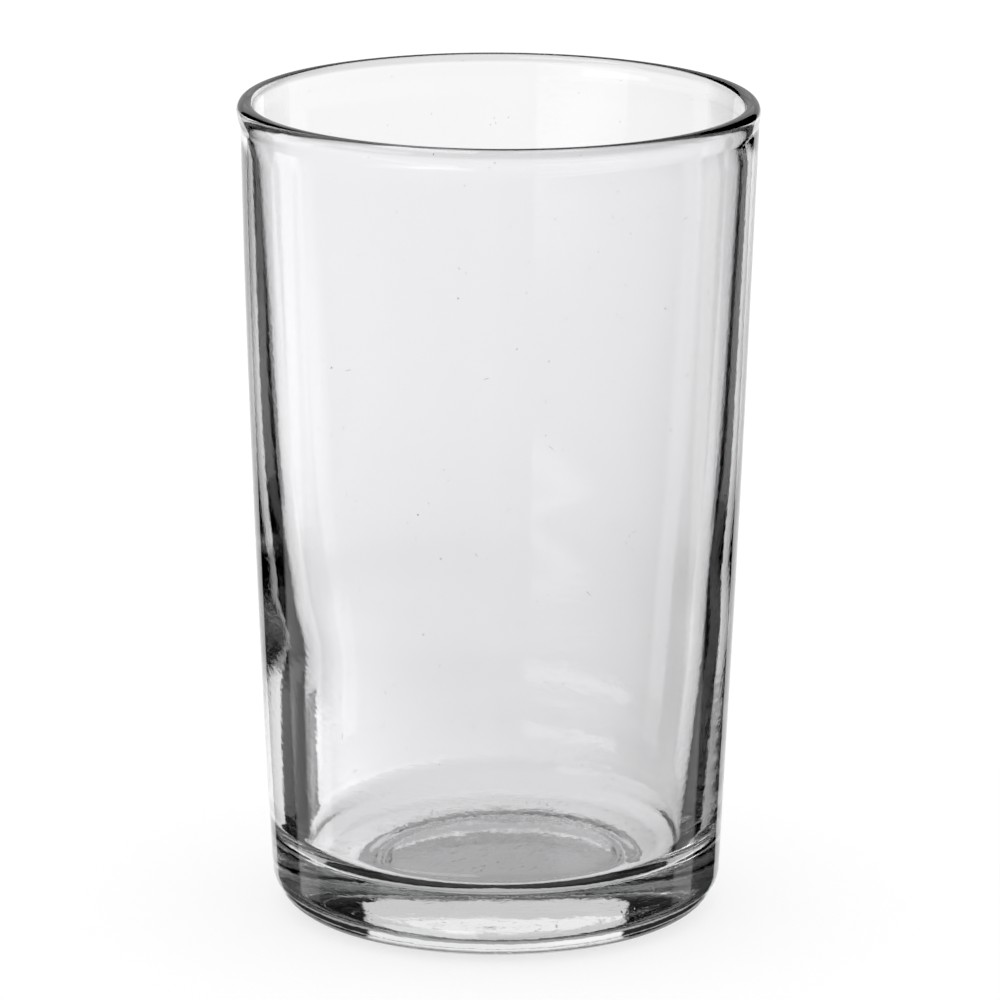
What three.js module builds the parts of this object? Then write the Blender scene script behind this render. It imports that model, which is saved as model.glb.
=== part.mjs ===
// A tasting glass: a small, plain tumbler of clear soda-lime glass that takes a pour of 5 fl oz.
// It is pressed and blown from one gob, so it is a single piece with nothing fitted to it: a
// fire-polished lip with a slight bead, a wall that swells a little as it widens upwards and
// thickens towards the foot, a round well with a dished floor, a heavy base with a rounded heel,
// and a domed punt inside the flat ring on which the glass stands.
// Millimetres, +Z up. The origin is the centre of the standing ring, on the table.
import * as THREE from "three";

// Outside wall, as a cone with a slight swell
const height = 92;
const mouthDiameter = 57.3; // under the lip's bead
const footDiameter = 50; // of the wall's line, carried down to the table
const wallSwell = 0.3; // how far the wall's middle stands out from a straight cone
const heelRadius = 4.7; // between the wall and the standing ring

// Lip: rounded over by the flame, which leaves a bead on the outside
const lipWall = 1.9; // across the bead
const lipCrown = 1.1; // from the bead's widest place up to the top
const lipBead = 0.25; // how far the bead stands out from the wall
const lipNeck = 2; // from the bead's widest place down to the plain wall

// Well: the wall's thickness down the glass, then a fillet and a dished floor
const chestWall = 2.08;
const chestDrop = 20; // below the top of the lip
const waistWall = 2.54;
const waistDrop = 42;
const shoulderWall = 3.12; // above the settle wave, the soft step that blowing leaves
const shoulderDrop = 54.5;
const settledWall = 3.72; // below the settle wave
const settledDrop = 64.5;
const wellWall = 4.25; // where the fillet starts
const floorThickness = 7; // from the table to the edge of the floor
const floorDish = 0.2; // how much lower the middle of the floor lies
const floorFillet = 3.2;

// Punt: the hollow under the base, a dome inside a sloping rim, with the thin ring that the joint
// of the mould's baffle leaves between the two
const puntDiameter = 33.4; // where it meets the standing ring
const puntStepDiameter = 27.6; // the inner edge of its sloping rim
const puntStepDepth = 0.9;
const puntDepth = 1.7; // in the middle
const puntCrownPower = 2.2; // how the dome falls away from its middle: above 2 the middle is flatter
const baffleInset = 0.05; // from the sloping rim in to the baffle's ring
const baffleWidth = 0.9;
const baffleHeight = 0.25;

// How finely the round stretches are cut
const turnSteps = 72;
const domeSteps = 7;
const baffleSteps = 4;
const rimSteps = 4;
const heelSteps = 7;
const swellSteps = 5;
const neckSteps = 3;
const lipSteps = 10;
const wallSteps = 11;
const filletSteps = 5;
const dishSteps = 4;

// Every section below is a list of points (radius, height), in millimetres.
const point = (radius, z) => new THREE.Vector2(radius, z);

// The height at which the lip's bead is widest.
const beadHeight = height - lipCrown;

// The radius of the outside wall at a height above the table, without the bead.
function wallRadius(z) {
  const share = z / beadHeight;
  const cone = THREE.MathUtils.lerp(footDiameter, mouthDiameter, share) / 2;
  return cone + 4 * wallSwell * share * (1 - share);
}

// The angle by which the outside wall leans out from the vertical at a height.
function wallLean(z) {
  const share = z / beadHeight;
  const rise = (mouthDiameter - footDiameter) / 2 + 4 * wallSwell * (1 - 2 * share);
  return Math.atan2(rise, beadHeight);
}

// The underside from the axis out to the standing ring: the punt's dome, which carries the raised
// ring of the baffle near its edge, then the punt's sloping rim, eased in and out.
function puntSection() {
  const stepRadius = puntStepDiameter / 2;
  const dome = (radius) => {
    const share = radius / stepRadius;
    return THREE.MathUtils.lerp(puntDepth, puntStepDepth, share ** puntCrownPower);
  };
  const baffleOuter = stepRadius - baffleInset;
  const baffleInner = baffleOuter - baffleWidth;
  const section = [point(0, puntDepth)];
  const run = (from, to, steps, shape) => {
    for (let step = 1; step <= steps; step++) {
      const share = step / steps;
      const radius = THREE.MathUtils.lerp(from, to, share);
      section.push(point(radius, shape(radius, share)));
    }
  };
  run(0, baffleInner, domeSteps, dome);
  run(baffleInner, baffleOuter, baffleSteps, (radius, share) => (
    dome(radius) - baffleHeight * Math.sin(Math.PI * share)
  ));
  section.push(point(stepRadius, puntStepDepth));
  run(stepRadius, puntDiameter / 2, rimSteps, (radius, share) => (
    (puntStepDepth * (1 + Math.cos(Math.PI * share))) / 2
  ));
  return section;
}

// The heel: an arc that leaves the table level and runs into the leaning wall without a corner.
function heelSection() {
  const lean = wallLean(heelRadius);
  const end = heelRadius * (1 - Math.sin(lean));
  const centreRadius = wallRadius(end) - heelRadius * Math.cos(lean);
  const arc = new THREE.EllipseCurve(
    centreRadius, heelRadius, heelRadius, heelRadius, -Math.PI / 2, -lean, false,
  );
  return arc.getPoints(heelSteps);
}

// The outside wall between the heel and the neck under the bead, then the neck, eased out to the
// bead's widest place.
function outerWallSection() {
  const neckFoot = beadHeight - lipNeck;
  const section = [];
  for (let step = 1; step <= swellSteps; step++) {
    const z = THREE.MathUtils.lerp(heelRadius, neckFoot, step / swellSteps);
    section.push(point(wallRadius(z), z));
  }
  for (let step = 1; step < neckSteps; step++) {
    const share = step / neckSteps;
    const z = THREE.MathUtils.lerp(neckFoot, beadHeight, share);
    section.push(point(wallRadius(z) + (lipBead * (1 - Math.cos(Math.PI * share))) / 2, z));
  }
  return section;
}

// The lip: half an ellipse from the bead's widest place over to the top of the well.
function lipSection() {
  const halfWall = lipWall / 2;
  const centreRadius = mouthDiameter / 2 + lipBead - halfWall;
  const arc = new THREE.EllipseCurve(
    centreRadius, beadHeight, halfWall, lipCrown, 0, Math.PI, false,
  );
  return arc.getPoints(lipSteps);
}

// The inside wall from the lip down to the fillet, through the thicknesses named above.
function innerWallSection() {
  const filletTop = floorThickness + floorFillet;
  const stations = [
    [beadHeight, lipWall - lipBead],
    [height - chestDrop, chestWall],
    [height - waistDrop, waistWall],
    [height - shoulderDrop, shoulderWall],
    [height - settledDrop, settledWall],
    [filletTop, wellWall],
  ];
  const curve = new THREE.SplineCurve(stations.map(([z, wall]) => point(wallRadius(z) - wall, z)));
  return curve.getPoints(wallSteps).slice(1);
}

// The fillet between the inside wall and the floor, from the wall's lean round to the dish.
function filletSection() {
  const top = floorThickness + floorFillet;
  const centreRadius = wallRadius(top) - wellWall - floorFillet;
  const dishSlope = Math.atan2(2 * floorDish, centreRadius);
  const arc = new THREE.EllipseCurve(
    centreRadius, top, floorFillet, floorFillet, 0, -Math.PI / 2 + dishSlope, true,
  );
  return arc.getPoints(filletSteps).slice(1);
}

// The floor of the well, dished towards the middle, from the foot of the fillet to the axis.
function floorSection(edge) {
  const section = [];
  for (let step = 1; step <= dishSteps; step++) {
    const share = 1 - step / dishSteps;
    section.push(point(edge.x * share, edge.y - floorDish * (1 - share * share)));
  }
  return section;
}

// The whole section, from the axis under the base round to the axis on the floor of the well.
function glassSection() {
  const fillet = filletSection();
  return [
    ...puntSection(),
    ...heelSection(),
    ...outerWallSection(),
    ...lipSection(),
    ...innerWallSection(),
    ...fillet,
    ...floorSection(fillet.at(-1)),
  ];
}

function clearGlass() {
  return new THREE.MeshStandardMaterial({
    color: 0xf1f3f4, roughness: 0.03, metalness: 0, transparent: true, opacity: 0.35,
  });
}

function tumbler() {
  const mesh = new THREE.Mesh(new THREE.LatheGeometry(glassSection(), turnSteps), clearGlass());
  mesh.name = "tumbler";
  mesh.rotation.x = Math.PI / 2; // the section is turned about its Y axis, which becomes +Z
  return mesh;
}

const tastingGlass = new THREE.Group();
tastingGlass.add(tumbler());

export default tastingGlass;
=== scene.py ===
"""A small tasting glass of clear soda-lime glass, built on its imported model, in a white studio."""

import logging
import math
from dataclasses import dataclass
from enum import Enum
from typing import Any

import bpy
from mathutils import Matrix, Vector


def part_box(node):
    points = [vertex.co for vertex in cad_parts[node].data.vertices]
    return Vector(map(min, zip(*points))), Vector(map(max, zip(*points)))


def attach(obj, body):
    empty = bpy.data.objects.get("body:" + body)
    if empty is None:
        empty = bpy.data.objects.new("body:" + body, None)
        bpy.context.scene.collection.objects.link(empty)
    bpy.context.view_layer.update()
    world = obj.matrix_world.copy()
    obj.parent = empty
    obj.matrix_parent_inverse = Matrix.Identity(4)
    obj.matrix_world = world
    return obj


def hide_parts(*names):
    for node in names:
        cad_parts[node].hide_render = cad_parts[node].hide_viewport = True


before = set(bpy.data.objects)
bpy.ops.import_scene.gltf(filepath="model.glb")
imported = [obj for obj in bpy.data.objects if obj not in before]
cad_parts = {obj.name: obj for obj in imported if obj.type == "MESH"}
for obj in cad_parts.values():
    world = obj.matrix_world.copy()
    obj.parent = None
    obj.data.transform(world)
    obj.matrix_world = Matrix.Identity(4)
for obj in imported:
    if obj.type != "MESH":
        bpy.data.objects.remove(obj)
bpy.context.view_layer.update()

MM = 0.001
LIGHT_BOUNCES = 24
MIRROR_BOUNCES = 16
LOG = logging.getLogger("tasting_glass")


def opaque(red: float, green: float, blue: float) -> tuple[float, float, float, float]:
    """A colour with its alpha."""
    return red, green, blue, 1.0


def grey(level: float) -> tuple[float, float, float, float]:
    """A grey with its alpha."""
    return opaque(level, level, level)


class Value:
    """A number that flows through a node tree, with the arithmetic that Python gives numbers."""

    def __init__(self, nodes: "Nodes", socket: bpy.types.NodeSocket) -> None:
        """Wraps an output socket.

        Args:
            nodes: the builder of the tree that the socket belongs to.
            socket: the output socket that gives the number.
        """
        self.nodes = nodes
        self.socket = socket

    def _math(self, operation: str, *values: Any) -> "Value":
        """Adds a Math node.

        Args:
            operation: what the node does.
            values: its inputs, in order.

        Returns:
            The node's result.
        """
        node = self.nodes.add("ShaderNodeMath", {"operation": operation}, dict(enumerate(values)))
        return Value(self.nodes, node.outputs[0])

    def __add__(self, other: Any) -> "Value":
        """Sum."""
        return self._math("ADD", self, other)

    def __sub__(self, other: Any) -> "Value":
        """Difference."""
        return self._math("SUBTRACT", self, other)

    def __rsub__(self, other: Any) -> "Value":
        """Difference, with this value taken away."""
        return self._math("SUBTRACT", other, self)

    def __mul__(self, other: Any) -> "Value":
        """Product."""
        return self._math("MULTIPLY", self, other)

    def __truediv__(self, other: Any) -> "Value":
        """Quotient."""
        return self._math("DIVIDE", self, other)

    def __mod__(self, other: Any) -> "Value":
        """Remainder."""
        return self._math("MODULO", self, other)

    def __pow__(self, other: Any) -> "Value":
        """Power."""
        return self._math("POWER", self, other)

    def __abs__(self) -> "Value":
        """Size without its sign."""
        return self._math("ABSOLUTE", self)

    def __rtruediv__(self, other: Any) -> "Value":
        """Quotient, with this value as the divisor."""
        return self._math("DIVIDE", other, self)

    def floor(self) -> "Value":
        """The whole part."""
        return self._math("FLOOR", self)

    def sine(self) -> "Value":
        """Sine of an angle in radians."""
        return self._math("SINE", self)

    def cosine(self) -> "Value":
        """Cosine of an angle in radians."""
        return self._math("COSINE", self)

    def bearing(self, other: Any) -> "Value":
        """The angle whose tangent is this value over the other, in radians."""
        return self._math("ARCTAN2", self, other)

    def length_with(self, other: Any) -> "Value":
        """The length of the line whose two parts are this value and the other."""
        return (self * self + other * other) ** 0.5

    def least(self, other: Any) -> "Value":
        """The smaller of two."""
        return self._math("MINIMUM", self, other)

    def most(self, other: Any) -> "Value":
        """The larger of two."""
        return self._math("MAXIMUM", self, other)

    def ramp(self, start: float, end: float) -> "Value":
        """Rises smoothly from 0 at start to 1 at end, or falls where start lies above end.

        Args:
            start: where the ramp leaves 0.
            end: where the ramp reaches 1.

        Returns:
            The eased share, held at 0 and 1 beyond the ends.
        """
        lowest, highest = min(start, end), max(start, end)
        limits = {"To Min": 0.0 if start < end else 1.0, "To Max": 1.0 if start < end else 0.0}
        node = self.nodes.add(
            "ShaderNodeMapRange",
            {"interpolation_type": "SMOOTHSTEP"},
            {"Value": self, "From Min": lowest, "From Max": highest, **limits},
        )
        return Value(self.nodes, node.outputs["Result"])


class Nodes:
    """Builds one node tree."""

    def __init__(self, tree: bpy.types.NodeTree) -> None:
        """Takes a tree and clears it.

        Args:
            tree: the node tree to fill.
        """
        self.tree = tree
        tree.nodes.clear()

    def add(
        self,
        kind: str,
        settings: dict[str, Any] | None = None,
        inputs: dict[Any, Any] | None = None,
    ) -> bpy.types.Node:
        """Adds any node: its settings are set first, then its sockets.

        Args:
            kind: the node's type name.
            settings: attribute values of the node.
            inputs: values, sockets or Value objects by socket name or number.

        Returns:
            The new node.
        """
        node = self.tree.nodes.new(kind)
        for name, value in (settings or {}).items():
            setattr(node, name, value)
        for key, value in (inputs or {}).items():
            self.feed(node.inputs[key], value)
        return node

    def feed(self, socket: bpy.types.NodeSocket, value: Any) -> None:
        """Links or sets one input socket.

        Args:
            socket: the input socket.
            value: a Value, an output socket or a plain value.
        """
        if isinstance(value, Value):
            value = value.socket
        if isinstance(value, bpy.types.NodeSocket):
            self.tree.links.new(value, socket)
        else:
            socket.default_value = value

    def value(
        self,
        kind: str,
        output: str | int,
        settings: dict[str, Any] | None = None,
        inputs: dict[Any, Any] | None = None,
    ) -> Value:
        """Adds a node and returns one of its outputs as a Value."""
        return Value(self, self.add(kind, settings, inputs).outputs[output])

    def blend(self, share: Any, under: Any, over: Any) -> bpy.types.NodeSocket:
        """Mixes two colours.

        Args:
            share: how much of the second colour there is, from 0 to 1.
            under: the first colour.
            over: the second colour.

        Returns:
            The socket that gives the mixed colour.
        """
        inputs = {0: share, 6: under, 7: over}
        return self.add("ShaderNodeMix", {"data_type": "RGBA"}, inputs).outputs[2]

    def noise(self, place: Any, size: Any, detail: float, rough: float = 0.5) -> Value:
        """Smooth noise from 0 to 1.

        Args:
            place: the point that it is taken at.
            size: how large its coarsest waves are.
            detail: how many finer scales it has.
            rough: how strong each finer scale is beside the one before.

        Returns:
            The noise.
        """
        inputs = {"Vector": place, "Scale": 1.0 / size, "Detail": detail, "Roughness": rough}
        return self.value("ShaderNodeTexNoise", "Fac", {"noise_dimensions": "3D"}, inputs)

    def cells(self, sheet: Any, spacing: float) -> bpy.types.bpy_prop_collection:
        """Scatters one point in each cell of a sheet.

        Args:
            sheet: a vector whose X and Y run along the sheet.
            spacing: how far apart the points lie.

        Returns:
            The outputs, with the nearest point's place and distance and a colour drawn for it.
        """
        inputs = {"Vector": sheet, "Scale": 1 / spacing, "Randomness": 1.0}
        settings = {"voronoi_dimensions": "2D", "feature": "F1"}
        return self.add("ShaderNodeTexVoronoi", settings, inputs).outputs

    def seen_in_glass(self) -> Value:
        """1 for light that a glass sends through or mirrors, and 0 for what is seen straight."""
        path = self.add("ShaderNodeLightPath").outputs
        return Value(self, path["Is Transmission Ray"]).most(Value(self, path["Is Glossy Ray"]))

    def split(self, vector: Any) -> tuple[Value, Value, Value]:
        """Takes a vector apart.

        Args:
            vector: the vector.

        Returns:
            Its X, Y and Z.
        """
        node = self.add("ShaderNodeSeparateXYZ", None, {0: vector})
        x, y, z = (Value(self, output) for output in node.outputs)
        return x, y, z

    def join(self, x: Any, y: Any, z: Any) -> bpy.types.NodeSocket:
        """A vector from three parts."""
        return self.add("ShaderNodeCombineXYZ", None, {0: x, 1: y, 2: z}).outputs[0]


def lerp(start: float, end: float, share: float) -> float:
    """The value at a share of the way from start to end."""
    return start + (end - start) * share


def spline(stations: list[Vector], share: float) -> Vector:
    """A smooth curve through every station, as a Catmull-Rom spline.

    Args:
        stations: the points that the curve passes through.
        share: how far along the curve, from 0 to 1.

    Returns:
        The point there.
    """
    last = len(stations) - 1
    place = share * last
    index = min(int(place), last - 1)
    t = place - index
    before, start = stations[max(index - 1, 0)], stations[index]
    end, after = stations[index + 1], stations[min(index + 2, last)]
    leave, arrive = (end - before) / 2, (after - start) / 2
    return (
        start
        + leave * t
        + (3 * (end - start) - 2 * leave - arrive) * t * t
        + (2 * (start - end) + leave + arrive) * t * t * t
    )


@dataclass(frozen=True)
class Spot:
    """One point of the glass's section. The last three say how far the glass departs from a true
    turning there: by leaning to one side, by rippling in and out and by creasing up and down."""

    radius: float
    height: float
    lean: float = 0.0
    ripple: float = 0.0
    crease: float = 0.0


@dataclass
class GlassSection:
    """The glass's sizes in metres, and its section from them. The height and the lip's diameter
    are the frame's. The leans say how far the glass stands off its axis at the named places."""

    # Lip
    height: float
    lip_diameter: float
    lip_bead: float = 0.25 * MM
    lip_wall: float = 1.9 * MM
    lip_crown: float = 1.1 * MM
    lip_neck: float = 2.0 * MM
    # Outside wall and heel
    foot_diameter: float = 50.0 * MM
    wall_swell: float = 0.3 * MM
    heel_radius: float = 4.7 * MM
    # Well: the wall's thickness down the glass, then the fillet and the floor
    chest_wall: float = 2.08 * MM
    chest_drop: float = 20.0 * MM
    waist_wall: float = 2.54 * MM
    waist_drop: float = 42.0 * MM
    shoulder_wall: float = 3.12 * MM
    shoulder_drop: float = 54.5 * MM
    settled_wall: float = 3.72 * MM
    settled_drop: float = 64.5 * MM
    well_wall: float = 4.25 * MM
    floor_thickness: float = 7.0 * MM
    floor_dish: float = 0.2 * MM
    floor_fillet: float = 3.2 * MM
    # Punt
    punt_diameter: float = 33.4 * MM
    punt_step_diameter: float = 27.6 * MM
    punt_step_depth: float = 0.9 * MM
    punt_depth: float = 1.7 * MM
    punt_crown_power: float = 2.2
    baffle_inset: float = 0.05 * MM
    baffle_width: float = 0.9 * MM
    baffle_height: float = 0.25 * MM
    # Unevenness: the leans, the ripple of the inside wall and the creases of the punt
    punt_lean: float = 0.8 * MM
    punt_lean_middle: float = 6.0 * MM
    foot_lean: float = 0.15 * MM
    foot_lean_top: float = 22.0 * MM
    neck_lean_foot: float = 62.0 * MM
    neck_lean: float = 0.15 * MM
    lip_lean: float = 0.05 * MM
    chest_lean: float = 0.08 * MM
    waist_lean: float = 0.13 * MM
    shoulder_lean: float = 0.22 * MM
    settled_lean: float = 0.44 * MM
    well_lean: float = 0.0
    wall_ripple: float = 0.03 * MM
    punt_crease: float = 0.05 * MM
    # How finely each stretch is cut
    punt_steps: int = 64
    heel_steps: int = 24
    wall_steps: int = 40
    neck_steps: int = 12
    lip_steps: int = 28
    inside_steps: int = 96
    fillet_steps: int = 20
    dish_steps: int = 20

    @property
    def bead_height(self) -> float:
        """Where the lip's bead is widest."""
        return self.height - self.lip_crown

    @property
    def mouth_radius(self) -> float:
        """The wall's radius under the bead."""
        return self.lip_diameter / 2 - self.lip_bead

    def wall_radius(self, z: float) -> float:
        """The outside wall's radius, without the bead.

        Args:
            z: the height above the table.

        Returns:
            The radius there.
        """
        share = z / self.bead_height
        cone = lerp(self.foot_diameter / 2, self.mouth_radius, share)
        return cone + 4 * self.wall_swell * share * (1 - share)

    def wall_lean(self, z: float) -> float:
        """The outside wall's slope.

        Args:
            z: the height above the table.

        Returns:
            The angle by which the wall leans out from the vertical there.
        """
        share = z / self.bead_height
        rise = self.mouth_radius - self.foot_diameter / 2 + 4 * self.wall_swell * (1 - 2 * share)
        return math.atan2(rise, self.bead_height)

    def outside_lean(self, z: float) -> float:
        """How far the outside wall stands off its axis: a little at the foot and again below
        the lip.

        Args:
            z: the height above the table.

        Returns:
            The distance there.
        """
        foot = max(0.0, 1 - z / self.foot_lean_top) ** 2
        neck_foot = self.bead_height - self.lip_neck
        rise = min(1.0, max(0.0, (z - self.neck_lean_foot) / (neck_foot - self.neck_lean_foot)))
        fall = min(1.0, max(0.0, (self.bead_height - z) / self.lip_neck))
        return self.foot_lean * foot + self.neck_lean * rise * rise * fall * fall

    def punt(self) -> list[Spot]:
        """The underside from the axis to the standing ring.

        Returns:
            The section's points.
        """
        step_radius = self.punt_step_diameter / 2
        edge_radius = self.punt_diameter / 2
        inner = step_radius - self.baffle_inset - self.baffle_width
        spots = []
        for step in range(self.punt_steps):
            radius = edge_radius * step / self.punt_steps
            if radius < step_radius:
                share = radius / step_radius
                z = lerp(self.punt_depth, self.punt_step_depth, share ** self.punt_crown_power)
                across = (radius - inner) / self.baffle_width
                if 0 < across < 1:
                    z -= self.baffle_height * math.sin(math.pi * across)
            else:
                across = (radius - step_radius) / (edge_radius - step_radius)
                z = self.punt_step_depth * (1 + math.cos(math.pi * across)) / 2
            crease = self.punt_crease * min(1.0, 2 * z / self.punt_step_depth)
            lean = self.punt_lean * min(1.0, radius / self.punt_lean_middle)
            spots.append(Spot(radius, z, lean=lean, crease=crease))
        return spots

    def heel(self) -> list[Spot]:
        """The standing ring's inner edge, then the rounding up to the outside wall.

        Returns:
            The section's points.
        """
        lean = self.wall_lean(self.heel_radius)
        end = self.heel_radius * (1 - math.sin(lean))
        centre = self.wall_radius(end) - self.heel_radius * math.cos(lean)
        edge = self.punt_diameter / 2
        spots = [Spot(edge, 0.0, lean=self.punt_lean), Spot(lerp(edge, centre, 0.5), 0.0)]
        for step in range(self.heel_steps + 1):
            share = step / self.heel_steps
            angle = lerp(-math.pi / 2, -lean, share)
            radius = centre + self.heel_radius * math.cos(angle)
            z = self.heel_radius * (1 + math.sin(angle))
            spots.append(Spot(radius, z, lean=self.outside_lean(z) * share))
        return spots

    def outside(self) -> list[Spot]:
        """The outside wall above the heel, and the neck under the bead.

        Returns:
            The section's points.
        """
        neck_foot = self.bead_height - self.lip_neck
        spots = []
        for step in range(1, self.wall_steps + 1):
            z = lerp(self.heel_radius, neck_foot, step / self.wall_steps)
            spots.append(Spot(self.wall_radius(z), z, lean=self.outside_lean(z)))
        for step in range(1, self.neck_steps):
            share = step / self.neck_steps
            z = lerp(neck_foot, self.bead_height, share)
            swell = self.lip_bead * (1 - math.cos(math.pi * share)) / 2
            spots.append(Spot(self.wall_radius(z) + swell, z, lean=self.outside_lean(z)))
        return spots

    def lip(self) -> list[Spot]:
        """Half an ellipse from the bead's widest place over to the top of the well.

        Returns:
            The section's points.
        """
        half = self.lip_wall / 2
        centre = self.lip_diameter / 2 - half
        spots = []
        for step in range(self.lip_steps + 1):
            share = step / self.lip_steps
            angle = math.pi * share
            z = self.bead_height + self.lip_crown * math.sin(angle)
            spots.append(Spot(centre + half * math.cos(angle), z, lean=self.lip_lean * share))
        return spots

    def inside(self) -> list[Spot]:
        """The inside wall from the lip to the fillet, which leans and ripples as blown glass does.

        Returns:
            The section's points.
        """
        fillet_top = self.floor_thickness + self.floor_fillet
        stations = [
            (self.bead_height, self.lip_wall - self.lip_bead, self.lip_lean),
            (self.height - self.chest_drop, self.chest_wall, self.chest_lean),
            (self.height - self.waist_drop, self.waist_wall, self.waist_lean),
            (self.height - self.shoulder_drop, self.shoulder_wall, self.shoulder_lean),
            (self.height - self.settled_drop, self.settled_wall, self.settled_lean),
            (fillet_top, self.well_wall, self.well_lean),
        ]
        places = [
            Vector((self.wall_radius(z) - wall, z, lean + self.outside_lean(z)))
            for z, wall, lean in stations
        ]
        spots = []
        for step in range(1, self.inside_steps + 1):
            share = step / self.inside_steps
            radius, z, lean = spline(places, share)
            ripple = self.wall_ripple * math.sin(math.pi * share)
            spots.append(Spot(radius, z, lean=lean, ripple=ripple))
        return spots

    def floor(self) -> list[Spot]:
        """The fillet at the foot of the well, then its dished floor as far as the axis.

        Returns:
            The section's points.
        """
        top = self.floor_thickness + self.floor_fillet
        centre = self.wall_radius(top) - self.well_wall - self.floor_fillet
        slope = math.atan2(2 * self.floor_dish, centre)
        spots = []
        for step in range(1, self.fillet_steps + 1):
            share = step / self.fillet_steps
            angle = lerp(0.0, slope - math.pi / 2, share)
            radius = centre + self.floor_fillet * math.cos(angle)
            z = top + self.floor_fillet * math.sin(angle)
            spots.append(Spot(radius, z, lean=self.well_lean * (1 - share)))
        edge = spots[-1]
        for step in range(1, self.dish_steps + 1):
            share = 1 - step / self.dish_steps
            z = edge.height - self.floor_dish * (1 - share * share)
            spots.append(Spot(edge.radius * share, z))
        return spots

    def spots(self) -> list[Spot]:
        """The whole section, from the axis under the base round to the axis in the well.

        Returns:
            The section's points.
        """
        return [
            *self.punt(),
            *self.heel(),
            *self.outside(),
            *self.lip(),
            *self.inside(),
            *self.floor(),
        ]


@dataclass(frozen=True)
class Marks:
    """A scatter of fine straight marks, such as hairline scratches or the wrinkles of a mould.
    There is a mark in this share of the cells, and its direction lies in the spread about the
    heading, in degrees. The shortest mark is given as a share of the longest."""

    spacing: float
    share: float
    half_length: float
    half_width: float
    heading: float = 0.0
    spread: float = 360.0
    shortest: float = 0.3
    taper_from: float = 0.6
    share_edge: float = 0.01

    def over(self, nodes: Nodes, sheet: Any) -> Value:
        """Scatters the marks over a surface that is laid out flat.

        Args:
            nodes: the tree to add them to.
            sheet: a vector whose X and Y run along the surface, in metres.

        Returns:
            1 in the middle of a mark and 0 beside it.
        """
        cell = nodes.cells(sheet, self.spacing)
        away = nodes.add(
            "ShaderNodeVectorMath", {"operation": "SUBTRACT"}, {0: sheet, 1: cell["Position"]},
        ).outputs[0]
        x, y, _ = nodes.split(away)
        chance, lie, size = nodes.split(cell["Color"])
        turn = (lie - 0.5) * math.radians(self.spread) + math.radians(self.heading)
        along = x * turn.cosine() + y * turn.sine()
        across = abs(y * turn.cosine() - x * turn.sine())
        length = (size * (1.0 - self.shortest) + self.shortest) * self.half_length
        line = (abs(along) / length).ramp(1.0, self.taper_from) * across.ramp(self.half_width, 0.0)
        return line * chance.ramp(self.share + self.share_edge, self.share - self.share_edge)


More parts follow.
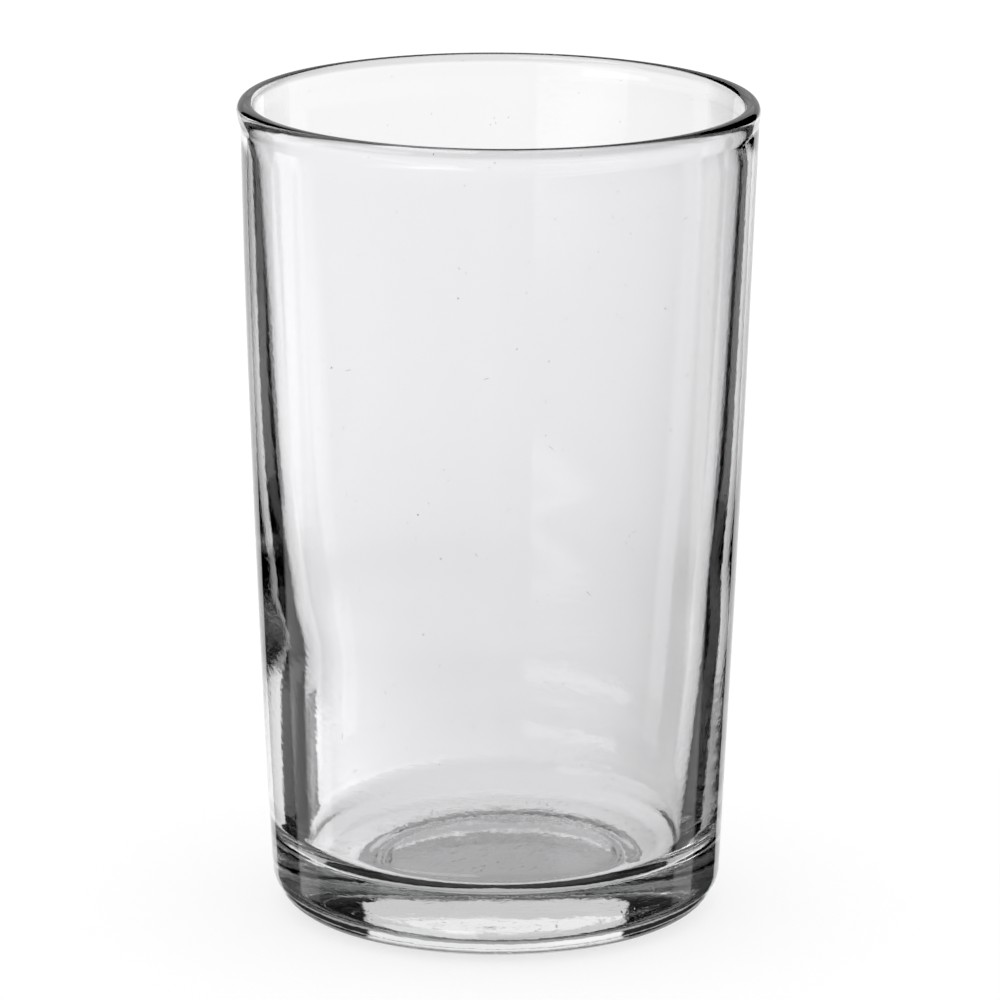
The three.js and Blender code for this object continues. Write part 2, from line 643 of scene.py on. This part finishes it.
@dataclass(frozen=True)
class ClearGlass:
    """Clear soda-lime glass that has been washed and handled: a faint cast in its depth, fine
    waviness from blowing, chill wrinkles low on the wall, mould wrinkles under the base, a few
    hairline scratches, specks of dust and the ghost of a smear."""

    name: str = "clear_glass"
    # How it bends light, and its cast at the surface and in its depth
    index: float = 1.517
    tint: tuple[float, float, float] = (0.985, 0.982, 0.992)
    depth_tint: tuple[float, float, float] = (0.903, 0.909, 0.906)
    depth_density: float = 20.0
    mark_shade: float = 0.1
    # Relief: waves everywhere, chill wrinkles low on the wall and the mould's print underneath
    relief_roughness: float = 0.55
    wave_size: float = 0.8 * MM
    wave_height: float = 0.003 * MM
    wave_detail: float = 2.0
    chill_top: float = 40.0 * MM
    chill_fade_end: float = 0.6
    chill_height: float = 0.008 * MM
    chill_stretch: float = 0.35
    chill_detail: float = 3.0
    base_top: float = 2.5 * MM
    base_fade_end: float = 0.5
    mould_size: float = 2.2 * MM
    mould_height: float = 0.03 * MM
    mould_detail: float = 3.0
    wrinkle_rise: float = 0.35
    # Specks of dust and the ghost of a smear
    speck_spacing: float = 6.0 * MM
    speck_radius: float = 0.07 * MM
    speck_core: float = 0.5
    speck_share: tuple[float, float] = (0.45, 0.5)
    smear_size: float = 1.0 / 60.0
    smear_detail: float = 3.0
    smear_span: tuple[float, float] = (0.55, 0.75)
    smear_roughness: float = 0.012
    # How the wall is laid out flat for the marks on it
    wall_radius: float = 27.0 * MM
    sheet_twist: float = 7.0
    # The film below the height to which the glass was last filled
    tide_top: float = 35.5 * MM
    tide_fade: float = 1.2 * MM
    tide_film: float = 0.992
    # Hairline scratches on the wall, deeper ones under the base, and the mould's wrinkles
    hairlines: Marks = Marks(11.0 * MM, 0.3, 0.5 * MM, 0.04 * MM)
    scratches: Marks = Marks(2.7 * MM, 0.9, 1.6 * MM, 0.16 * MM, 40.0, 50.0)
    scratch_reach: float = 9.5 * MM
    scratch_fade_end: float = 0.6
    scratch_top: float = 1.3
    wrinkles: Marks = Marks(1.6 * MM, 0.5, 0.9 * MM, 0.09 * MM)

    def relief(self, nodes: Nodes, place: Any, sheet: Any, wrinkle: Value) -> Value:
        """The height of the glass's fine relief.

        Args:
            nodes: the tree to add it to.
            place: the point in the object.
            sheet: the point with the wall laid out flat.
            wrinkle: the mould's marks.

        Returns:
            The height in metres.
        """
        _, _, z = nodes.split(place)
        along, up, depth = nodes.split(sheet)
        rough = self.relief_roughness
        wave = nodes.noise(place, self.wave_size, self.wave_detail, rough) * self.wave_height
        stretched = nodes.join(along * self.chill_stretch, up, depth)
        chill = nodes.noise(stretched, self.wave_size, self.chill_detail, rough)
        low = z.ramp(self.chill_top, self.chill_top * self.chill_fade_end)
        under = z.ramp(self.base_top, self.base_top * self.base_fade_end)
        mould = nodes.noise(place, self.mould_size, self.mould_detail, rough)
        mould = mould + wrinkle * self.wrinkle_rise
        return wave + chill * low * self.chill_height + mould * under * self.mould_height

    def shade(self, nodes: Nodes, place: Any, sheet: Any) -> bpy.types.NodeSocket:
        """The glass's own colour, with the film that liquid leaves, and with the marks on it.

        Args:
            nodes: the tree to add it to.
            place: the point in the object.
            sheet: the point with the wall laid out flat.

        Returns:
            The socket that gives the colour.
        """
        x, y, z = nodes.split(place)
        radius = x.length_with(y)
        low = z.ramp(self.base_top * self.scratch_top, self.base_top)
        near = radius.ramp(self.scratch_reach, self.scratch_reach * self.scratch_fade_end)
        scratch = self.scratches.over(nodes, place) * low * near
        specks = nodes.cells(sheet, self.speck_spacing)
        chance, _, _ = nodes.split(specks["Color"])
        some, none = self.speck_share
        nearest = Value(nodes, specks["Distance"]) * self.speck_spacing
        speck = nearest.ramp(self.speck_radius, self.speck_radius * self.speck_core)
        marks = (speck * chance.ramp(none, some)).most(self.hairlines.over(nodes, sheet))
        tide = z.ramp(self.tide_top + self.tide_fade, self.tide_top - self.tide_fade)
        film = opaque(*(part * self.tide_film for part in self.tint))
        clean = nodes.blend(tide, opaque(*self.tint), film)
        return nodes.blend(marks.most(scratch), clean, grey(self.mark_shade))

    def build(self) -> bpy.types.Material:
        """Makes the material.

        Returns:
            The new material.
        """
        material = bpy.data.materials.new(self.name)
        material.use_nodes = True
        nodes = Nodes(material.node_tree)
        place = nodes.add("ShaderNodeTexCoord").outputs["Object"]
        x, y, z = nodes.split(place)
        radius = x.length_with(y)
        round_wall = x.bearing(y * -1.0) * self.wall_radius
        sheet = nodes.join(round_wall + radius * self.sheet_twist, z, radius)
        relief = self.relief(nodes, place, sheet, self.wrinkles.over(nodes, place))
        bump = nodes.add(
            "ShaderNodeBump", None, {"Height": relief, "Strength": 1.0, "Distance": 1.0},
        ).outputs["Normal"]
        smear = nodes.noise(place, self.smear_size, self.smear_detail)
        shader = nodes.add(
            "ShaderNodeBsdfPrincipled", None,
            {
                "Base Color": self.shade(nodes, place, sheet),
                "Roughness": smear.ramp(*self.smear_span) * self.smear_roughness,
                "IOR": self.index,
                "Transmission Weight": 1.0,
                "Normal": bump,
            },
        )
        depth = nodes.add(
            "ShaderNodeVolumeAbsorption", None,
            {"Color": opaque(*self.depth_tint), "Density": self.depth_density},
        )
        nodes.add(
            "ShaderNodeOutputMaterial", None,
            {"Surface": shader.outputs[0], "Volume": depth.outputs[0]},
        )
        return material


@dataclass
class Tumbler:
    """The glass itself, turned finely from its section, with the unevenness of blown glass."""

    section: GlassSection
    finish: ClearGlass
    turn_steps: int = 288
    ripple_size: float = 30.0 * MM
    ripple_seed: float = 3.0
    ripple_detail: float = 1.0
    crease_size: float = 3.0 * MM
    crease_seed: float = 11.0
    crease_detail: float = 3.0
    merge_distance: float = 0.002 * MM

    def section_mesh(self) -> bpy.types.Object:
        """The section as a line of points in the XZ plane, with its unevenness as attributes.

        Returns:
            The new object.
        """
        spots = self.section.spots()
        mesh = bpy.data.meshes.new("glass_section")
        ends = [(index, index + 1) for index in range(len(spots) - 1)]
        mesh.from_pydata([(spot.radius, 0.0, spot.height) for spot in spots], ends, [])
        for name in ("lean", "ripple", "crease"):
            layer = mesh.attributes.new(name, "FLOAT", "POINT")
            layer.data.foreach_set("value", [getattr(spot, name) for spot in spots])
        thing = bpy.data.objects.new("tumbler_glass", mesh)
        bpy.context.scene.collection.objects.link(thing)
        return thing

    def turning_tree(self) -> bpy.types.NodeTree:
        """The Geometry Nodes tree that turns a section about Z.

        Returns:
            The tree, with named inputs for its sizes and its finish.
        """
        tree = bpy.data.node_groups.new("turned_glass", "GeometryNodeTree")
        for name, kind in (
            ("Geometry", "NodeSocketGeometry"),
            ("Turn Steps", "NodeSocketInt"),
            ("Ripple Size", "NodeSocketFloat"),
            ("Crease Size", "NodeSocketFloat"),
            ("Merge Distance", "NodeSocketFloat"),
            ("Material", "NodeSocketMaterial"),
        ):
            tree.interface.new_socket(name, in_out="INPUT", socket_type=kind)
        tree.interface.new_socket("Geometry", in_out="OUTPUT", socket_type="NodeSocketGeometry")
        nodes = Nodes(tree)
        given = nodes.add("NodeGroupInput").outputs
        output = nodes.add("NodeGroupOutput")
        section = given["Geometry"]
        turns = Value(nodes, given["Turn Steps"])
        points = nodes.value(
            "GeometryNodeAttributeDomainSize", "Point Count", {"component": "MESH"},
            {"Geometry": section},
        )
        rows = turns + 1
        grid = nodes.add(
            "GeometryNodeMeshGrid", None, {"Vertices X": points, "Vertices Y": rows},
        ).outputs["Mesh"]
        index = nodes.value("GeometryNodeInputIndex", 0)
        spot = (index / rows).floor()
        angle = (index % rows) / turns * math.tau

        def sampled(kind: str, field: Any) -> bpy.types.NodeSocket:
            """Reads a field of the section at each point's spot.

            Args:
                kind: the field's data type.
                field: the socket that gives the field.

            Returns:
                The socket that gives what was read.
            """
            return nodes.add(
                "GeometryNodeSampleIndex", {"data_type": kind, "domain": "POINT"},
                {"Geometry": section, "Value": field, "Index": spot},
            ).outputs["Value"]

        def attribute(name: str) -> Value:
            """Reads one of the section's attributes at each point's spot.

            Args:
                name: the attribute's name.

            Returns:
                What was read.
            """
            named = nodes.add(
                "GeometryNodeInputNamedAttribute", {"data_type": "FLOAT"}, {"Name": name},
            )
            return Value(nodes, sampled("FLOAT", named.outputs["Attribute"]))

        radius, _, z = nodes.split(
            sampled("FLOAT_VECTOR", nodes.add("GeometryNodeInputPosition").outputs[0])
        )
        across, along = angle.cosine(), angle.sine()
        round_place = nodes.join(radius * across, radius * along, z)

        def noise(size: Value, seed: float, detail: float) -> Value:
            """Noise about zero at each point of the turned glass.

            Args:
                size: how large its coarsest waves are.
                seed: which of many such noises it is.
                detail: how many finer scales it has.

            Returns:
                The noise.
            """
            return nodes.value(
                "ShaderNodeTexNoise", "Fac", {"noise_dimensions": "4D"},
                {"Vector": round_place, "W": seed, "Scale": 1.0 / size, "Detail": detail},
            ) - 0.5

        ripple_size = Value(nodes, given["Ripple Size"])
        crease_size = Value(nodes, given["Crease Size"])
        ripple = noise(ripple_size, self.ripple_seed, self.ripple_detail)
        crease = noise(crease_size, self.crease_seed, self.crease_detail)
        uneven = radius + attribute("lean") * across + attribute("ripple") * ripple * 2.0
        rise = z + attribute("crease") * crease * 2.0
        turned = nodes.add(
            "GeometryNodeSetPosition", None,
            {"Geometry": grid, "Position": nodes.join(uneven * across, uneven * along, rise)},
        ).outputs[0]
        closed = nodes.add(
            "GeometryNodeMergeByDistance", None,
            {"Geometry": turned, "Distance": given["Merge Distance"]},
        ).outputs[0]
        outward = nodes.add("GeometryNodeFlipFaces", None, {"Mesh": closed}).outputs[0]
        smooth = nodes.add("GeometryNodeSetShadeSmooth", None, {"Geometry": outward}).outputs[0]
        real = nodes.add("GeometryNodeRealizeInstances", None, {"Geometry": smooth}).outputs[0]
        dressed = nodes.add(
            "GeometryNodeSetMaterial", None, {"Geometry": real, "Material": given["Material"]},
        ).outputs[0]
        nodes.feed(output.inputs[0], dressed)
        return tree

    def build(self) -> bpy.types.Object:
        """Turns the glass, makes it a plain mesh and puts it on the frame.

        Returns:
            The finished piece.
        """
        piece = self.section_mesh()
        tree = self.turning_tree()
        modifier = piece.modifiers.new("turning", "NODES")
        modifier.node_group = tree
        wanted = {
            "Turn Steps": self.turn_steps,
            "Ripple Size": self.ripple_size,
            "Crease Size": self.crease_size,
            "Merge Distance": self.merge_distance,
            "Material": self.finish.build(),
        }
        for item in tree.interface.items_tree:
            if item.in_out == "INPUT" and item.name in wanted:
                modifier[item.identifier] = wanted[item.name]
        turned = piece.evaluated_get(bpy.context.evaluated_depsgraph_get())
        mesh = bpy.data.meshes.new_from_object(turned)
        piece.modifiers.clear()
        section_line = piece.data
        piece.data = mesh
        bpy.data.meshes.remove(section_line)
        mesh.name = "tumbler_glass"
        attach(piece, "root")
        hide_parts("tumbler")
        return piece


class Seen(Enum):
    """Which light a panel of the studio is there for: what has only passed through glass, or
    what has been mirrored on its way."""

    STRAIGHT = "straight"
    MIRRORED = "mirrored"


@dataclass(frozen=True)
class Panel:
    """One board of the studio, as the stretch of directions that it fills, in degrees. Bearings
    run from the way that the main camera looks, and clockwise is more."""

    bearing: tuple[float, float]
    climb: tuple[float, float]
    level: float
    seen: Seen
    pair: bool = True
    edge: float = 0.6

    def over(self, bearing: Value, climb: Value, mirrored: Value, light: Value) -> Value:
        """Lays the panel over what lies behind it.

        Args:
            bearing: the direction's bearing.
            climb: the direction's height above the horizon.
            mirrored: 1 for light that has been reflected on its way, or 0.
            light: the light from what lies behind.

        Returns:
            The light with the panel in front, and with its twin on the other side if it has one.
        """
        (left, right), (low, high), soft = self.bearing, self.climb, self.edge
        turn = abs(bearing) if self.pair else bearing
        mask = turn.ramp(left - soft, left + soft) * turn.ramp(right + soft, right - soft)
        mask = mask * climb.ramp(low - soft, low + soft) * climb.ramp(high + soft, high - soft)
        lit = mirrored if self.seen is Seen.MIRRORED else 1.0 - mirrored
        return light + mask * lit * (self.level - light)


@dataclass
class Studio:
    """A white sweep lit evenly, with boards beyond its sides that draw the glass's edges. The
    sweep falls off downwards between two climbs, in degrees. Under the glass, as far as the
    footprint, the floor hides the boards, and its glow is lower there: a painted shadow."""

    floor_size: float = 12.0
    floor_drop: float = 0.05 * MM
    floor_glow: float = 0.69
    # The floor's glow under the glass, lower than elsewhere: a painted shadow seen through the base
    painted_shadow_glow: float = 0.3
    floor_white: float = 0.36
    sweep_fall: float = 0.15
    sweep_fall_start: float = -11.0
    sweep_fall_end: float = -23.0
    footprint: float = 15.0 * MM
    footprint_edge: float = 1.5 * MM
    panels: tuple[Panel, ...] = (
        # Boards that the glass mirrors inside itself: its bands, its rim and its base
        Panel((58.0, 181.0), (-91.0, 91.0), 0.15, Seen.MIRRORED),
        Panel((-181.0, -58.0), (-23.0, -10.0), 0.28, Seen.MIRRORED, False),
        Panel((58.0, 181.0), (-10.0, 10.0), 0.55, Seen.MIRRORED),
        Panel((-1.0, 25.4), (-5.0, 12.0), 0.5, Seen.MIRRORED),
        Panel((-1.0, 25.4), (12.0, 91.0), 0.7, Seen.MIRRORED),
        Panel((-1.0, 181.0), (-91.0, -23.0), 0.03, Seen.MIRRORED),
        Panel((-1.0, 25.4), (-91.0, -23.0), 0.5, Seen.MIRRORED),
        Panel((25.4, 58.0), (-91.0, 40.0), 0.0, Seen.MIRRORED),
        Panel((-1.0, 181.0), (40.0, 91.0), 0.35, Seen.MIRRORED),
        # Bright cards and the window: the white strips beside the bands, the patch in the mouth
        # and the lights at the back rim and under the front rim
        Panel((-75.0, -58.0), (-23.0, -10.0), 1.1, Seen.MIRRORED, False, 2.0),
        Panel((58.0, 75.0), (-23.0, -10.0), 0.9, Seen.MIRRORED, False, 2.0),
        Panel((-162.0, -115.0), (-7.2, -6.0), 2.0, Seen.MIRRORED, False, 0.8),
        Panel((-140.0, -106.0), (12.0, 34.0), 1.8, Seen.MIRRORED, False, 2.0),
        Panel((-168.0, -110.0), (-60.0, -37.0), 2.5, Seen.MIRRORED, False, 1.5),
        # The sweep seen straight through the glass: greyer to the right, whiter to the left
        Panel((5.0, 60.0), (-35.0, -9.0), 0.84, Seen.STRAIGHT, False, 9.0),
        Panel((-45.0, -8.0), (-35.0, 8.0), 1.25, Seen.STRAIGHT, False, 7.0),
        Panel((15.0, 45.0), (-35.0, 8.0), 1.05, Seen.STRAIGHT, False, 6.0),
        # Black boards seen straight through: the outlines of the walls, the rim and the base
        Panel((25.4, 75.0), (-20.0, -8.0), 0.02, Seen.STRAIGHT),
        Panel((25.4, 62.0), (-8.0, 12.0), 0.02, Seen.STRAIGHT),
        Panel((118.0, 181.0), (-8.0, 12.0), 0.02, Seen.STRAIGHT),
        Panel((72.0, 118.0), (-35.0, -20.0), 0.02, Seen.STRAIGHT),
        Panel((-1.0, 181.0), (12.0, 91.0), 0.45, Seen.STRAIGHT),
    )

    def build_world(self) -> None:
        """Makes the studio's walls, seen by the glass, and plain white, seen by the camera."""
        world = bpy.data.worlds.new("studio")
        bpy.context.scene.world = world
        world.use_nodes = True
        nodes = Nodes(world.node_tree)
        direction = nodes.add("ShaderNodeTexCoord").outputs["Generated"]
        x, y, z = nodes.split(direction)
        bearing = x.bearing(y) * math.degrees(1.0)
        climb = z.bearing(x.length_with(y)) * math.degrees(1.0)
        mirrored = nodes.value("ShaderNodeLightPath", "Glossy Depth").least(1.0)
        light = nodes.value("ShaderNodeValue", 0)
        light.socket.default_value = 1.0
        for panel in self.panels:
            light = panel.over(bearing, climb, mirrored, light)
        fall = climb.ramp(self.sweep_fall_start, self.sweep_fall_end) * self.sweep_fall
        light = light * (1.0 - fall * (1.0 - mirrored))
        level = 1.0 - nodes.seen_in_glass() * (1.0 - light)
        background = nodes.add("ShaderNodeBackground", None, {"Color": level, "Strength": 1.0})
        nodes.add("ShaderNodeOutputWorld", None, {"Surface": background.outputs[0]})

    def build_floor(self) -> bpy.types.Object:
        """Makes the pale floor. The camera sees it and the shadow on it, and the glass looks
        through it to the studio's boards.

        Returns:
            The floor.
        """
        half = self.floor_size / 2
        mesh = bpy.data.meshes.new("floor")
        corners = [(-half, -half), (half, -half), (half, half), (-half, half)]
        mesh.from_pydata([(x, y, -self.floor_drop) for x, y in corners], [], [(0, 1, 2, 3)])
        floor = bpy.data.objects.new("floor", mesh)
        bpy.context.scene.collection.objects.link(floor)
        material = bpy.data.materials.new("pale_floor")
        material.use_nodes = True
        nodes = Nodes(material.node_tree)
        x, y, _ = nodes.split(nodes.add("ShaderNodeTexCoord").outputs["Object"])
        away = x.length_with(y).ramp(self.footprint, self.footprint + self.footprint_edge)
        through = nodes.seen_in_glass() * away
        matt = nodes.add("ShaderNodeBsdfDiffuse", None, {"Color": grey(self.floor_white)})
        # Glow drops under the glass's footprint: a painted shadow on top of the real one
        shade = nodes.blend(away, grey(self.painted_shadow_glow), grey(self.floor_glow))
        glow = nodes.add("ShaderNodeEmission", None, {"Color": shade, "Strength": 1.0})
        pale = nodes.add("ShaderNodeAddShader", None, {0: matt.outputs[0], 1: glow.outputs[0]})
        clear = nodes.add("ShaderNodeBsdfTransparent")
        surface = nodes.add(
            "ShaderNodeMixShader", None, {0: through, 1: pale.outputs[0], 2: clear.outputs[0]},
        )
        nodes.add("ShaderNodeOutputMaterial", None, {"Surface": surface.outputs[0]})
        mesh.materials.append(material)
        return floor


@dataclass(frozen=True)
class StudioCamera:
    """A long lens a little above the glass, as in the photograph. Angles are in degrees, and the
    lens and its sensor in millimetres."""

    place: tuple[float, float, float] = (0.0, -771.5 * MM, 240.9 * MM)
    pitch: float = -14.146
    yaw: float = 0.026
    roll: float = 0.267
    lens: float = 256.36
    sensor: float = 36.0
    nearest: float = 0.05
    farthest: float = 40.0

    def build(self) -> bpy.types.Object:
        """Makes the camera and hands it to the scene.

        Returns:
            The camera.
        """
        data = bpy.data.cameras.new("studio_camera")
        data.sensor_width = self.sensor
        data.lens = self.lens
        data.clip_start = self.nearest
        data.clip_end = self.farthest
        camera = bpy.data.objects.new("studio_camera", data)
        bpy.context.scene.collection.objects.link(camera)
        turn = (
            Matrix.Rotation(math.radians(-self.yaw), 4, "Z")
            @ Matrix.Rotation(math.radians(90.0 + self.pitch), 4, "X")
            @ Matrix.Rotation(math.radians(self.roll), 4, "Z")
        )
        camera.matrix_world = Matrix.Translation(self.place) @ turn
        bpy.context.scene.camera = camera
        return camera


def let_light_through() -> None:
    """Lets light turn often enough inside thick glass to find its way out."""
    cycles = bpy.context.scene.cycles
    cycles.max_bounces = LIGHT_BOUNCES
    cycles.glossy_bounces = MIRROR_BOUNCES
    cycles.transmission_bounces = LIGHT_BOUNCES


def main() -> None:
    """Builds the glass, the studio and the camera, in that order."""
    logging.basicConfig(level=logging.INFO, format="%(name)s: %(message)s")
    bpy.context.scene.view_settings.view_transform = "Standard"
    lowest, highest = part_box("tumbler")
    section = GlassSection(height=highest.z - lowest.z, lip_diameter=highest.x - lowest.x)
    tumbler = Tumbler(section, ClearGlass()).build()
    LOG.info("%s: %d faces", tumbler.name, len(tumbler.data.polygons))
    studio = Studio()
    studio.build_world()
    floor = studio.build_floor()
    LOG.info("%s: %.1f m across", floor.name, studio.floor_size)
    camera = StudioCamera().build()
    LOG.info("%s: %.0f mm lens", camera.name, camera.data.lens)
    let_light_through()


if __name__ == "__main__":
    main()
